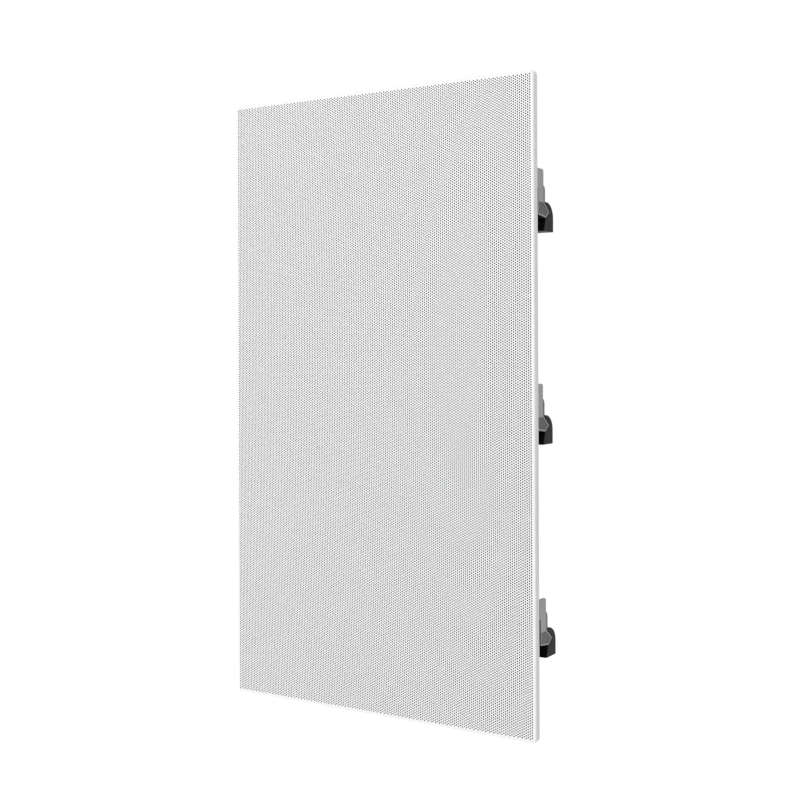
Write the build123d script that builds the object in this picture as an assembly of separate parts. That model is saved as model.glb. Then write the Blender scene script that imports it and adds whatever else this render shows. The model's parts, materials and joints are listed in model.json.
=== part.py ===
from build123d import *
import os

# In-wall loudspeaker behind a press-on perforated grille, in millimetres.
# X is to the right, Y goes into the wall and Z is up.
# The origin is the middle of the wall opening, on the face of the wall.

# Grille: a steel sheet folded to a shallow pan, its face crowned
grille_width = 249.5
grille_height = 441.0
grille_corner_radius = 3.0
grille_sheet = 0.7
grille_rim = 5.0
grille_wall_gap = 0.4
grille_fold_radius = 1.2
grille_border = 2.0
grille_crown = 6.5
grille_play = 0.4
scrim_sheet = 0.3
scrim_gap = 0.3
glue_line = 0.1

# Moulded frame, and how far the grille laps over each edge of the wall opening
side_lap = 9.75
end_lap = 10.5
opening_play = 0.75
skirt_wall = 3.0
skirt_depth = 18.0
skirt_corner_radius = 6.0
well_width = 200.0
well_height = 412.0
well_corner_radius = 8.0
baffle_setback = 4.0
baffle_thickness = 4.0
rib_thickness = 2.5
rib_height = 8.0
ring_wall = 3.0

# Grille magnets, let into the front of the flange
magnet_radius = 2.5
magnet_length = 3.0
magnet_proud = 0.7
magnet_pocket_play = 0.1
magnet_inset = 4.2
magnet_side_rows = (-73.0, 73.0)
magnet_end_columns = (-70.0, 70.0)

# Woofers: radii and depths behind the baffle's front face
woofer_spacing = 236.0
basket_radius = 82.5
basket_sheet = 2.0
basket_throat_radius = 71.0
basket_wall = 1.8
spider_seat_radius = 47.0
spider_seat_depth = 32.0
motor_seat_radius = 41.6
motor_seat_depth = 44.0
basket_windows = 6
window_front = 7.0
window_back = 28.0
window_front_width = 46.0
window_back_width = 32.0
cone_radius = 59.6
cone_depth = 24.0
cone_sheet = 1.2
suspension_gap = 0.3
roll_width = 10.0
roll_height = 4.0
roll_sheet = 0.8
surround_lip = 2.5
dust_cap_radius = 18.8
dust_cap_height = 7.0
dust_cap_sheet = 0.7
coil_radius = 12.5
coil_sheet = 0.7
winding_sheet = 0.4
winding_length = 11.0
coil_length = 32.0
coil_gap = 0.4
spider_sheet = 0.8
spider_wave = 1.6
spider_waves = 4
top_plate_radius = 40.0
top_plate_thickness = 5.0
ferrite_radius = 45.0
ferrite_bore_radius = 20.0
ferrite_thickness = 15.0
yoke_plate_thickness = 5.0

# Tweeter between the woofers
tweeter_radius = 32.0
tweeter_plate = 3.0
tweeter_mouth_radius = 22.0
dome_radius = 12.6
dome_height = 4.0
dome_sheet = 0.4
dome_edge_width = 2.2
dome_edge_gap = 0.4
tweeter_motor_radius = 23.5
tweeter_motor_play = 0.5
tweeter_motor_length = 24.0
tweeter_coil_depth = 8.0

# Driver screws, the same size on the woofers and the tweeter
driver_screw_radius = 1.6
driver_screw_length = 9.0
driver_screw_head_radius = 3.0
driver_screw_head = 2.0
driver_screws_each = 4
driver_screw_start = 45.0
driver_screw_head_gap = 0.5
screw_hole_play = 0.3
screw_edge_distance = 4.5

# Crossover board on four standoffs behind the tweeter
board_width = 104.0
board_height = 66.0
board_thickness = 1.6
board_depth = 46.0
standoff_radius = 4.0
standoff_inset = 6.0
board_screw_head_radius = 3.0
board_screw_head = 2.0
coil_form_radius = 14.0
coil_form_bore = 5.0
coil_form_height = 16.0
capacitor_radius = 6.5
capacitor_gap = 1.0
capacitor_spacing = 16.0
resistor_side = 8.0
resistor_length = 22.0
part_gap = 4.0

# Push terminals on the board
terminal_width = 40.0
terminal_height = 18.0
terminal_depth = 16.0
lever_width = 10.0
lever_height = 7.0
lever_reach = 4.0
lever_travel = 3.0
lever_play = 0.3
lever_seat = 6.0
lever_edge_radius = 1.0
wire_hole_radius = 1.6

# Swing-out clamps, three a side
clamp_rows = {"upper": 146.4, "middle": 0.0, "lower": -146.4}
clamp_depths = {"upper": 32.4, "middle": 30.3, "lower": 33.7}
clamp_inset = 1.5
clamp_screw_radius = 2.0
clamp_screw_tail = 1.0
clamp_head_radius = 3.8
clamp_head = 2.4
clamp_head_play = 0.4
clamp_head_seat = 0.8
clamp_boss_wall = 1.0
clamp_boss = 3.4
clamp_play = 0.3
sleeve_radius = 6.0
sleeve_length = 7.5
bush_radius = 4.0
bush_flange_radius = 5.0
bush_flange = 1.5
flank_offset = 7.0
flank_thickness = 1.6
spade_sheet = 0.6
spade_rim = 1.0
spade_recess = 0.3
strip_top = 13.8
strip_width = 10.2
strip_corner_radius = 2.0
spade_shoulder = 8.0
spade_reach = 9.0
spade_tip_drop = 15.0
spade_low_reach = 3.6
spade_low_drop = 19.1
spade_notch = 8.5
spade_notch_drop = 17.5
web_thickness = 4.4
web_lap = 0.6
foot_inboard = 8.0
foot_length = 20.2
foot_thickness = 12.5
foot_round = 10.5
foot_toe = 2.6
bay_wall = 2.5
bay_play = 1.6

# Sizes and depths worked out from the values above
opening_width = grille_width - 2 * side_lap
opening_height = grille_height - 2 * end_lap
grille_front = -(grille_wall_gap + grille_rim)
flange_front = grille_front + grille_sheet + magnet_proud
flange_width = grille_width - 2 * (grille_sheet + grille_play)
flange_height = grille_height - 2 * (grille_sheet + grille_play)
flange_corner = grille_corner_radius - grille_sheet - grille_play
skirt_width = opening_width - 2 * opening_play
skirt_height = opening_height - 2 * opening_play
baffle_front = baffle_setback
baffle_back = baffle_front + baffle_thickness
clamp_axis_x = opening_width / 2 - clamp_inset - flank_offset
clamp_screw_end = max(clamp_depths.values()) + web_thickness + bush_flange + clamp_screw_tail
foot_top = -spade_shoulder
foot_bottom = foot_top - foot_length
coil_outer = coil_radius + coil_sheet
winding_outer = coil_outer + winding_sheet
roll_inner = cone_radius + suspension_gap + surround_lip
roll_outer = roll_inner + roll_width


def slab(outline, front, back):
    """An outline drawn in X and Z, solid from the depth front to the depth back."""
    return Pos(0, front, 0) * extrude(Plane.XZ * outline, amount=back - front, dir=(0, 1, 0))


def spread(places, outline):
    """One outline repeated at several places."""
    return Sketch() + [place * outline for place in places]


def turned(*points):
    """A profile of radius and depth, turned about the Y axis."""
    return revolve(Polygon(*points, align=None), Axis.Y)


def disc(radius, front, back, bore=0.0):
    """A round plate or tube on the Y axis."""
    return turned((bore, front), (radius, front), (radius, back), (bore, back))


def dome_arc(rim, height, crest):
    """Half the section of a shallow dome, an arc of radius (rim^2 + height^2) / (2 height)."""
    radius = (rim**2 + height**2) / (2 * height)
    halfway = crest + radius - (radius**2 - rim**2 / 4) ** 0.5
    return ThreePointArc((0, crest), (rim / 2, halfway), (rim, crest + height))


def side_plate(outline, low, high):
    """An outline drawn in Y and Z, solid from one X to another."""
    return Pos(low, 0, 0) * extrude(Plane.YZ * outline, amount=high - low, dir=(1, 0, 0))


def save(name, part):
    export_step(part, os.path.join("parts", name + ".step"))


# Grille pan, crowned sheet and scrim
def quadratic_net(window, reach):
    """The three control values of 1 - (x / reach)^2 from -window to window."""
    share = (window / reach) ** 2
    return (1 - share, 1 + share, 1 - share)


def crown_sheet(width, height, depth, thickness):
    """Part of the crowned face c (1 - a^2)(1 - b^2), exactly a patch of three by three control points."""
    across = quadratic_net(width / 2, grille_width / 2 - grille_border)
    upward = quadratic_net(height / 2, grille_height / 2 - grille_border)
    rows = []
    for column in range(3):
        row = []
        for level in range(3):
            rise = grille_crown * across[column] * upward[level]
            row.append(((column - 1) * width / 2, depth - rise, (level - 1) * height / 2))
        rows.append(row)
    return extrude(Face.make_bezier_surface(rows), amount=thickness, dir=(0, 1, 0))


def make_grille():
    outline = RectangleRounded(grille_width, grille_height, grille_corner_radius)
    outer = slab(outline, grille_front, -grille_wall_gap)
    outer = fillet(outer.faces().sort_by(Axis.Y)[0].edges(), grille_fold_radius)
    inside_outline = RectangleRounded(
        grille_width - 2 * grille_sheet,
        grille_height - 2 * grille_sheet,
        grille_corner_radius - grille_sheet,
    )
    inside = slab(inside_outline, grille_front + grille_sheet, -grille_wall_gap)
    inside = fillet(inside.faces().sort_by(Axis.Y)[0].edges(), grille_fold_radius - grille_sheet)
    face_width = grille_width - 2 * grille_border
    face_height = grille_height - 2 * grille_border
    window = slab(Rectangle(face_width, face_height), grille_front, grille_front + grille_sheet)
    return outer - inside - window + crown_sheet(face_width, face_height, grille_front, grille_sheet)


def make_scrim():
    """Cloth glued behind the sheet, cut to stay inside the ring of magnets."""
    inset = magnet_inset + magnet_radius + scrim_gap
    front = grille_front + grille_sheet + glue_line
    return crown_sheet(flange_width - 2 * inset, flange_height - 2 * inset, front, scrim_sheet)


# Where things repeat
def woofer_places():
    return {"upper": woofer_spacing / 2, "lower": -woofer_spacing / 2}


def screw_places(radius):
    return PolarLocations(radius, driver_screws_each, start_angle=driver_screw_start)


def magnet_places():
    side = flange_width / 2 - magnet_inset
    end = flange_height / 2 - magnet_inset
    sides = [(x, row) for x in (-side, side) for row in magnet_side_rows]
    ends = [(column, z) for z in (-end, end) for column in magnet_end_columns]
    return sides + ends


def standoff_places():
    return GridLocations(board_width - 2 * standoff_inset, board_height - 2 * standoff_inset, 2, 2)


woofer_screw_circle = basket_radius - screw_edge_distance
tweeter_screw_circle = tweeter_radius - driver_screw_head_radius - driver_screw_head_gap


def driver_screw_places():
    """Centres, in X and Z, of every screw that holds a driver."""
    spots = [place.position for place in screw_places(tweeter_screw_circle)]
    for height in woofer_places().values():
        spots += [place.position + Vector(0, height) for place in screw_places(woofer_screw_circle)]
    return [(spot.X, spot.Y) for spot in spots]


# Moulded frame: flange, skirt, baffle, clamp bays and ribs
bay_sweep = (strip_top**2 + flank_offset**2) ** 0.5
foot_sweep = (foot_bottom**2 + foot_inboard**2) ** 0.5
bay_inner_x = clamp_axis_x - bay_sweep
bay_high = bay_sweep + bay_play
bay_low = foot_sweep + bay_play


def bay_outline(row, wall, outer_x):
    """The clamp's free space in X and Z, grown by a wall on its three closed sides."""
    inner_x = bay_inner_x - wall
    height = bay_high + bay_low + 2 * wall
    middle = row + (bay_high - bay_low) / 2
    return Pos((inner_x + outer_x) / 2, middle) * Rectangle(outer_x - inner_x, height)


def both_sides(outline):
    return outline + mirror(outline, about=Plane.YZ)


def make_frame():
    skirt = RectangleRounded(skirt_width, skirt_height, skirt_corner_radius)
    skirt_inside = RectangleRounded(
        skirt_width - 2 * skirt_wall,
        skirt_height - 2 * skirt_wall,
        skirt_corner_radius - skirt_wall,
    )
    well = RectangleRounded(well_width, well_height, well_corner_radius)
    for row in clamp_rows.values():
        well -= both_sides(bay_outline(row, bay_wall, well_width / 2))
    frame = slab(RectangleRounded(flange_width, flange_height, flange_corner) - well, flange_front, 0)
    frame += slab(skirt - well, 0, baffle_front)
    frame += slab(skirt, baffle_front, baffle_back)
    frame += slab(skirt - skirt_inside, baffle_back, skirt_depth)

    # Rings behind the driver holes, and two ribs across
    motor_hole = tweeter_motor_radius + tweeter_motor_play
    basket_hole = basket_throat_radius + screw_hole_play
    rib_row = woofer_spacing / 2 - basket_hole - ring_wall - rib_thickness
    for height in woofer_places().values():
        frame += slab(Pos(0, height) * Circle(basket_hole + ring_wall), baffle_back, baffle_back + rib_height)
    frame += slab(Circle(motor_hole + ring_wall), baffle_back, baffle_back + rib_height)
    for height in (-rib_row, rib_row):
        rib = Pos(0, height) * Rectangle(skirt_width - skirt_wall, rib_thickness)
        frame += slab(rib, baffle_back, baffle_back + rib_height)

    # Clamp bays, open to the side and the back, with a boss for each screw
    for row in clamp_rows.values():
        frame += slab(both_sides(bay_outline(row, bay_wall, skirt_width / 2)), 0, skirt_depth)
    for row in clamp_rows.values():
        frame -= slab(both_sides(bay_outline(row, 0, opening_width / 2)), 0, skirt_depth)
        spots = Locations((clamp_axis_x, row), (-clamp_axis_x, row))
        head_pocket = clamp_head_radius + clamp_head_play
        frame += slab(spread(spots, Circle(head_pocket + clamp_boss_wall)), 0, clamp_boss)
        frame -= slab(spread(spots, Circle(head_pocket)), flange_front, clamp_head_seat)
        frame -= slab(spread(spots, Circle(clamp_screw_radius + clamp_play)), clamp_head_seat, clamp_boss)

    # Driver holes, screw holes and magnet pockets
    for height in woofer_places().values():
        frame -= slab(Pos(0, height) * Circle(basket_hole), baffle_front, skirt_depth)
    frame -= slab(Circle(motor_hole), baffle_front, skirt_depth)
    hole = driver_screw_radius + screw_hole_play
    frame -= slab(spread(Locations(*driver_screw_places()), Circle(hole)), baffle_front, skirt_depth)
    pocket = magnet_radius + magnet_pocket_play
    pocket_floor = flange_front - magnet_proud + magnet_length
    return frame - slab(spread(Locations(*magnet_places()), Circle(pocket)), flange_front, pocket_floor)


def make_magnets():
    front = flange_front - magnet_proud
    return slab(spread(Locations(*magnet_places()), Circle(magnet_radius)), front, front + magnet_length)


# One woofer, on the Y axis, with depths measured from the baffle's front face
def make_basket():
    inner_throat = basket_throat_radius - basket_wall
    inner_seat = spider_seat_radius - basket_wall
    inner_motor = motor_seat_radius - basket_wall
    coil_hole = winding_outer + coil_gap + basket_wall
    basket = turned(
        (basket_radius, -basket_sheet),
        (basket_radius, 0),
        (basket_throat_radius, 0),
        (spider_seat_radius, spider_seat_depth),
        (spider_seat_radius, spider_seat_depth + basket_wall),
        (motor_seat_radius, spider_seat_depth + basket_wall),
        (motor_seat_radius, motor_seat_depth),
        (coil_hole, motor_seat_depth),
        (coil_hole, motor_seat_depth - basket_sheet),
        (inner_motor, motor_seat_depth - basket_sheet),
        (inner_motor, spider_seat_depth),
        (inner_seat, spider_seat_depth),
        (inner_throat, 0),
        (inner_throat, -basket_sheet),
    )
    window = Polygon(
        (-window_front_width / 2, window_front),
        (window_front_width / 2, window_front),
        (window_back_width / 2, window_back),
        (-window_back_width / 2, window_back),
        align=None,
    )
    cutter = extrude(window, amount=basket_radius)
    for index in range(basket_windows):
        basket -= Rot(0, index * 360 / basket_windows, 0) * cutter
    hole = driver_screw_radius + screw_hole_play
    basket -= slab(spread(screw_places(woofer_screw_circle), Circle(hole)), -basket_sheet, 0)
    return basket


def make_surround():
    seat = -basket_sheet
    crest = seat - roll_sheet - roll_height
    middle = (roll_inner + roll_outer) / 2
    lip_inner = cone_radius + suspension_gap
    lip_outer = roll_outer + surround_lip
    top = seat - roll_sheet
    hollow_inner = roll_inner + roll_sheet
    hollow_outer = roll_outer - roll_sheet
    outline = [
        *Polyline((hollow_inner, seat), (lip_inner, seat), (lip_inner, top), (roll_inner, top)).edges(),
        ThreePointArc((roll_inner, top), (middle, crest), (roll_outer, top)),
        *Polyline((roll_outer, top), (lip_outer, top), (lip_outer, seat), (hollow_outer, seat)).edges(),
        ThreePointArc((hollow_outer, seat), (middle, crest + roll_sheet), (hollow_inner, seat)),
    ]
    return revolve(make_face(outline), Axis.Y)


cone_edge = -basket_sheet - roll_sheet
cone_neck = cone_edge + cone_depth
cone_bore = coil_outer + glue_line


def cone_front_depth(radius):
    """Depth of the cone's front surface at a radius."""
    return cone_neck + (cone_edge - cone_neck) * (radius - cone_bore) / (cone_radius - cone_bore)


def make_cone():
    return turned(
        (cone_bore, cone_neck),
        (cone_radius, cone_edge),
        (cone_radius, cone_edge + cone_sheet),
        (cone_bore, cone_neck + cone_sheet),
    )


def make_dust_cap():
    """A shallow dome standing on the cone."""
    rim = cone_front_depth(dust_cap_radius) - glue_line - dust_cap_sheet
    crest = rim - dust_cap_height
    front = dome_arc(dust_cap_radius, dust_cap_height, crest)
    back = dome_arc(dust_cap_radius, dust_cap_height, crest + dust_cap_sheet)
    return revolve(make_face([front, back, Line(front @ 0, back @ 0), Line(front @ 1, back @ 1)]), Axis.Y)


def make_voice_coil():
    former_back = cone_neck + coil_length
    winding_front = former_back - winding_length
    return turned(
        (coil_radius, cone_neck - dust_cap_sheet),
        (coil_outer, cone_neck - dust_cap_sheet),
        (coil_outer, winding_front),
        (winding_outer, winding_front),
        (winding_outer, former_back),
        (coil_radius, former_back),
    )


def make_spider():
    """A corrugated disc: its profile is a zigzag between the coil and the seat on the basket."""
    inner = winding_outer + suspension_gap
    outer = motor_seat_radius
    step = (outer - inner) / (2 * spider_waves)
    crests = [(inner + step * i, -spider_wave * (i % 2)) for i in range(2 * spider_waves + 1)]
    lip = (spider_seat_radius - basket_wall - suspension_gap, 0.0)
    back = [(r, spider_seat_depth + y) for r, y in crests + [lip]]
    front = [(r, y - spider_sheet) for r, y in reversed(back)]
    return turned(*back, *front)


plate_back = motor_seat_depth + top_plate_thickness
ferrite_back = plate_back + ferrite_thickness
motor_back = ferrite_back + yoke_plate_thickness


def make_top_plate():
    return disc(top_plate_radius, motor_seat_depth, plate_back, winding_outer + coil_gap)


def make_ferrite():
    return disc(ferrite_radius, plate_back, ferrite_back, ferrite_bore_radius)


def make_yoke():
    pole = coil_radius - coil_gap
    return turned(
        (0, motor_seat_depth),
        (pole, motor_seat_depth),
        (pole, ferrite_back),
        (top_plate_radius, ferrite_back),
        (top_plate_radius, motor_back),
        (0, motor_back),
    )


# Tweeter, on the Y axis, with depths measured from the baffle's front face
dome_outer = dome_radius + dome_edge_width
dome_seat = dome_edge_gap
motor_face = dome_seat + dome_sheet + dome_edge_gap


def make_tweeter_plate():
    throat = dome_outer - dome_edge_width / 2
    plate = turned(
        (throat, 0),
        (tweeter_mouth_radius, -tweeter_plate),
        (tweeter_radius, -tweeter_plate),
        (tweeter_radius, 0),
    )
    hole = driver_screw_radius + screw_hole_play
    return plate - slab(spread(screw_places(tweeter_screw_circle), Circle(hole)), -tweeter_plate, 0)


def make_tweeter_dome():
    """A dome with a flat edge and a short former behind it."""
    crest = dome_seat - dome_height
    front = dome_arc(dome_radius, dome_height, crest)
    back = dome_arc(dome_radius - dome_sheet, dome_height, crest + dome_sheet)
    edge_back = dome_seat + dome_sheet
    former_back = dome_seat + tweeter_coil_depth
    rim = Polyline(
        front @ 1,
        (dome_outer, dome_seat),
        (dome_outer, edge_back),
        (dome_radius, edge_back),
        (dome_radius, former_back),
        (dome_radius - dome_sheet, former_back),
        back @ 1,
    )
    return revolve(make_face([front, *rim.edges(), back, Line(back @ 0, front @ 0)]), Axis.Y)


def make_tweeter_motor():
    gap_depth = dome_seat + tweeter_coil_depth + coil_gap
    gap_inner = dome_radius - dome_sheet - coil_gap
    gap_outer = dome_radius + coil_gap
    spacer = dome_outer + coil_gap
    return turned(
        (0, motor_face),
        (gap_inner, motor_face),
        (gap_inner, gap_depth),
        (gap_outer, gap_depth),
        (gap_outer, motor_face),
        (spacer, motor_face),
        (spacer, 0),
        (tweeter_motor_radius, 0),
        (tweeter_motor_radius, tweeter_motor_length),
        (0, tweeter_motor_length),
    )


def make_driver_screws():
    screws = []
    seats = {spot: basket_sheet for spot in driver_screw_places()}
    for place in screw_places(tweeter_screw_circle):
        seats[(place.position.X, place.position.Y)] = tweeter_plate
    for (x, z), seat in seats.items():
        under_head = baffle_front - seat
        screw = disc(driver_screw_head_radius, under_head - driver_screw_head, under_head)
        screw += disc(driver_screw_radius, under_head, under_head + driver_screw_length)
        screws.append(Pos(x, 0, z) * screw)
    return Compound(screws)


# Crossover board and its parts, all standing on the board's back
board_back = board_depth + board_thickness
terminal_row = -board_height / 2 + terminal_height / 2
coil_row = board_height / 2 - coil_form_radius - part_gap
coil_column = board_width / 2 - coil_form_radius - 2 * standoff_inset


def make_standoffs():
    tube = Circle(standoff_radius) - Circle(driver_screw_radius + screw_hole_play)
    return slab(spread(standoff_places(), tube), baffle_back, board_depth)


def make_board():
    holes = spread(standoff_places(), Circle(driver_screw_radius + screw_hole_play))
    return slab(Rectangle(board_width, board_height) - holes, board_depth, board_back)


def make_board_screws():
    heads = spread(standoff_places(), Circle(board_screw_head_radius))
    shanks = spread(standoff_places(), Circle(driver_screw_radius))
    screws = slab(heads, board_back, board_back + board_screw_head)
    return screws + slab(shanks, board_back - driver_screw_length, board_back)


def make_crossover_coils():
    spots = Locations((-coil_column, coil_row), (coil_column, coil_row))
    ring = Circle(coil_form_radius) - Circle(coil_form_bore)
    return slab(spread(spots, ring), board_back, board_back + coil_form_height)


def make_capacitors():
    """Two cans lying between the coils."""
    length = 2 * (coil_column - coil_form_radius - capacitor_gap)
    lying = Rot(0, 90, 0) * Cylinder(capacitor_radius, length)
    depth = board_back + capacitor_radius
    rows = (coil_row + capacitor_spacing / 2, coil_row - capacitor_spacing / 2)
    return Compound([Pos(0, depth, row) * lying for row in rows])


def make_resistors():
    column = (terminal_width + board_width) / 4 + part_gap / 2
    row = terminal_row + part_gap
    cases = spread(Locations((-column, row), (column, row)), Rectangle(resistor_side, resistor_length))
    return slab(cases, board_back, board_back + resistor_side)


# Push terminals
terminal_back = board_back + terminal_depth
lever_columns = {"left": -terminal_width / 4, "right": terminal_width / 4}
lever_row = terminal_row + terminal_height / 2 - lever_height / 2 - part_gap / 2
wire_row = terminal_row - terminal_height / 2 + part_gap


def make_terminal_block():
    block = slab(Pos(0, terminal_row) * Rectangle(terminal_width, terminal_height), board_back, terminal_back)
    slots = Locations(*[(column, lever_row) for column in lever_columns.values()])
    slot = Rectangle(lever_width + 2 * lever_play, lever_height + 2 * lever_play)
    floor = terminal_back - lever_seat - lever_travel - lever_play
    block -= slab(spread(slots, slot), floor, terminal_back)
    holes = Locations(*[(column, wire_row) for column in lever_columns.values()])
    return block - slab(spread(holes, Circle(wire_hole_radius)), terminal_back - lever_seat, terminal_back)


def make_lever(column):
    outline = Pos(column, lever_row) * Rectangle(lever_width, lever_height)
    lever = slab(outline, terminal_back - lever_seat, terminal_back + lever_reach)
    crest = lever.edges().filter_by(Axis.X).group_by(Axis.Y)[-1]
    return fillet(crest, lever_edge_radius)


# One clamp of the right side, turning about the Y axis, with the strip's back edge at depth
def flank_outline(depth):
    """Side view of the carrier, in Y and Z: an upright strip that widens to a spade at its foot."""
    strip = Polygon(
        (depth - strip_width, strip_top),
        (depth, strip_top),
        (depth, -spade_shoulder),
        (depth - spade_notch, -spade_shoulder),
        (depth - spade_notch, 0),
        (depth - strip_width, 0),
        align=None,
    )
    strip = fillet(strip.vertices().sort_by_distance((depth, strip_top))[0], strip_corner_radius)
    return strip + spade_outline(depth)


def spade_outline(depth):
    return Polygon(
        (depth - spade_notch, -spade_shoulder),
        (depth, -spade_shoulder),
        (depth + spade_reach, -spade_tip_drop),
        (depth + spade_low_reach, -spade_low_drop),
        (depth - spade_notch, -spade_notch_drop),
        align=None,
    )


def make_carrier(depth):
    """Cast carrier: a sleeve round the bush, the flank with its spade, and a web in front of the foot."""
    sleeve_back = depth + web_thickness
    flank_inner = flank_offset - flank_thickness
    spade_inner = flank_offset - spade_sheet
    carrier = disc(sleeve_radius, sleeve_back - sleeve_length, sleeve_back)
    web_outer = flank_inner + web_lap
    web_outline = Pos((web_outer - foot_inboard) / 2, -spade_low_drop / 2)
    web_outline *= Rectangle(web_outer + foot_inboard, spade_low_drop)
    carrier += slab(web_outline, depth, sleeve_back)
    ahead_of_foot = Polygon(
        (depth - strip_width, -spade_low_drop),
        (sleeve_back, -spade_low_drop),
        (sleeve_back, strip_top),
        (depth - strip_width, strip_top),
        align=None,
    )
    carrier += side_plate(flank_outline(depth) & ahead_of_foot, flank_inner, spade_inner)
    carrier += side_plate(flank_outline(depth), spade_inner, flank_offset)
    recess = offset(spade_outline(depth), amount=-spade_rim, kind=Kind.INTERSECTION)
    carrier -= side_plate(recess, flank_offset - spade_recess, flank_offset)
    return carrier - disc(bush_radius + clamp_play, sleeve_back - sleeve_length, sleeve_back)


def make_foot(depth):
    """Moulded foot behind the web, its gripping face toed in and its top back corner rounded."""
    front = depth + web_thickness
    outline = Polygon(
        (front, foot_top),
        (front + foot_thickness, foot_top),
        (front + foot_thickness, foot_bottom),
        (front - foot_toe, foot_bottom),
        (front, -spade_low_drop),
        align=None,
    )
    outline = fillet(outline.vertices().sort_by_distance((front + foot_thickness, foot_top))[0], foot_round)
    return side_plate(outline, -foot_inboard, flank_offset - spade_sheet)


def make_bush(depth):
    back = depth + web_thickness
    bore = clamp_screw_radius + clamp_play
    front = back - sleeve_length
    return turned(
        (bore, front),
        (bush_radius, front),
        (bush_radius, back),
        (bush_flange_radius, back),
        (bush_flange_radius, back + bush_flange),
        (bore, back + bush_flange),
    )


def make_clamp_screw():
    head = disc(clamp_head_radius, clamp_head_seat - clamp_head, clamp_head_seat)
    return head + disc(clamp_screw_radius, clamp_head_seat, clamp_screw_end)


def save_clamps():
    for row_name, row in clamp_rows.items():
        depth = clamp_depths[row_name]
        pieces = {
            "screw": make_clamp_screw(),
            "bush": make_bush(depth),
            "carrier": make_carrier(depth),
            "foot": make_foot(depth),
        }
        for piece_name, piece in pieces.items():
            right = Pos(clamp_axis_x, 0, row) * piece
            save(f"{row_name}_right_clamp_{piece_name}", right)
            save(f"{row_name}_left_clamp_{piece_name}", mirror(right, about=Plane.YZ))


def save_woofers():
    pieces = {
        "basket": make_basket(),
        "surround": make_surround(),
        "cone": make_cone(),
        "dust_cap": make_dust_cap(),
        "voice_coil": make_voice_coil(),
        "spider": make_spider(),
        "top_plate": make_top_plate(),
        "ferrite_magnet": make_ferrite(),
        "yoke": make_yoke(),
    }
    for place, height in woofer_places().items():
        for name, piece in pieces.items():
            save(f"{place}_woofer_{name}", Pos(0, baffle_front, height) * piece)


os.makedirs("parts", exist_ok=True)
save("grille_panel", make_grille())
save("grille_scrim", make_scrim())
save("baffle_frame", make_frame())
save("grille_magnets", make_magnets())
save_woofers()
save("tweeter_faceplate", Pos(0, baffle_front, 0) * make_tweeter_plate())
save("tweeter_dome", Pos(0, baffle_front, 0) * make_tweeter_dome())
save("tweeter_motor", Pos(0, baffle_front, 0) * make_tweeter_motor())
save("driver_screws", make_driver_screws())
save("crossover_standoffs", make_standoffs())
save("crossover_board", make_board())
save("crossover_board_screws", make_board_screws())
save("crossover_coils", make_crossover_coils())
save("crossover_capacitors", make_capacitors())
save("crossover_resistors", make_resistors())
save("terminal_block", make_terminal_block())
for side, column in lever_columns.items():
    save(f"{side}_terminal_lever", make_lever(column))
save_clamps()
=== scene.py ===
# %% [markdown]
# # A flush in-wall loudspeaker
# The speaker is a white perforated grille over a moulded frame with two woofers and a tweeter, held behind
# the wall by six swing-out clamps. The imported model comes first, as a fixed frame: every piece that follows
# is put where that model says, in the same axes, with X to the right, Y into the wall and Z up.

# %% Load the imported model
import json
import math

import bmesh
import bpy
import numpy as np
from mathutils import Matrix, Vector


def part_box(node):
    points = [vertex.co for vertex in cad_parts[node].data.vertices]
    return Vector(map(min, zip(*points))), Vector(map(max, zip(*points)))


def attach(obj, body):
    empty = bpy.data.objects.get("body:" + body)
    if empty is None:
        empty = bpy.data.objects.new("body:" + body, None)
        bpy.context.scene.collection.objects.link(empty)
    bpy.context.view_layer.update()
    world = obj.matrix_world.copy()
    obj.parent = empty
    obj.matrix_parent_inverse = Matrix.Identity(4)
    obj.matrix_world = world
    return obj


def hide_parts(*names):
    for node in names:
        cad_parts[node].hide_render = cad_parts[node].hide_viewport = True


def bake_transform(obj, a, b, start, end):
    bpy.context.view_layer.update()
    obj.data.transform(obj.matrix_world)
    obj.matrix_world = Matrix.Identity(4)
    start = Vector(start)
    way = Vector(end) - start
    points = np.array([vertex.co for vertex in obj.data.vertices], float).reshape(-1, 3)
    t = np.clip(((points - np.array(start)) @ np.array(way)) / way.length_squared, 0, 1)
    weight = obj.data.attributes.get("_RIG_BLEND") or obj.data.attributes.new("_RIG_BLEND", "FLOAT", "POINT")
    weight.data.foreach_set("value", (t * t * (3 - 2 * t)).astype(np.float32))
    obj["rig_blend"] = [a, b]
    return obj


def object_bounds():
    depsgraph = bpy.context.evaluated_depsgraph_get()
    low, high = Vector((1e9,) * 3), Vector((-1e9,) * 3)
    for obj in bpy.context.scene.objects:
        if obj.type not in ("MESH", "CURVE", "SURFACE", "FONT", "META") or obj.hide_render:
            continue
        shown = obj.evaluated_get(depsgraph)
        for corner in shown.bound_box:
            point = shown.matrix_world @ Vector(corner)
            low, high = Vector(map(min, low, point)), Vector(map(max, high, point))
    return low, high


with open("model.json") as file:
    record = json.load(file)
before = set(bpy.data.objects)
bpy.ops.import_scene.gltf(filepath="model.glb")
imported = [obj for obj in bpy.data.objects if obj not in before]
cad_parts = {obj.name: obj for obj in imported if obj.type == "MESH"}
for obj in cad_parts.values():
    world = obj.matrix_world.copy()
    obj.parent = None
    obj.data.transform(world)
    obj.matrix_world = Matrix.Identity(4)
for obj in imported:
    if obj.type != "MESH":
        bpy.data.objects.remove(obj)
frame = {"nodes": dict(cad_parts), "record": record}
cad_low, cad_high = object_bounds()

MM = 0.001
record = frame["record"]
body_of = {node: body for body, nodes in record["behaviour"]["bodies"].items() for node in nodes}
slot_of = {part["node"]: part["material_slot"] for part in record["subparts"]}
scene = bpy.context.scene


def put(name, data):
    """A new object in the scene."""
    thing = bpy.data.objects.new(name, data)
    scene.collection.objects.link(thing)
    return thing


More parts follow.
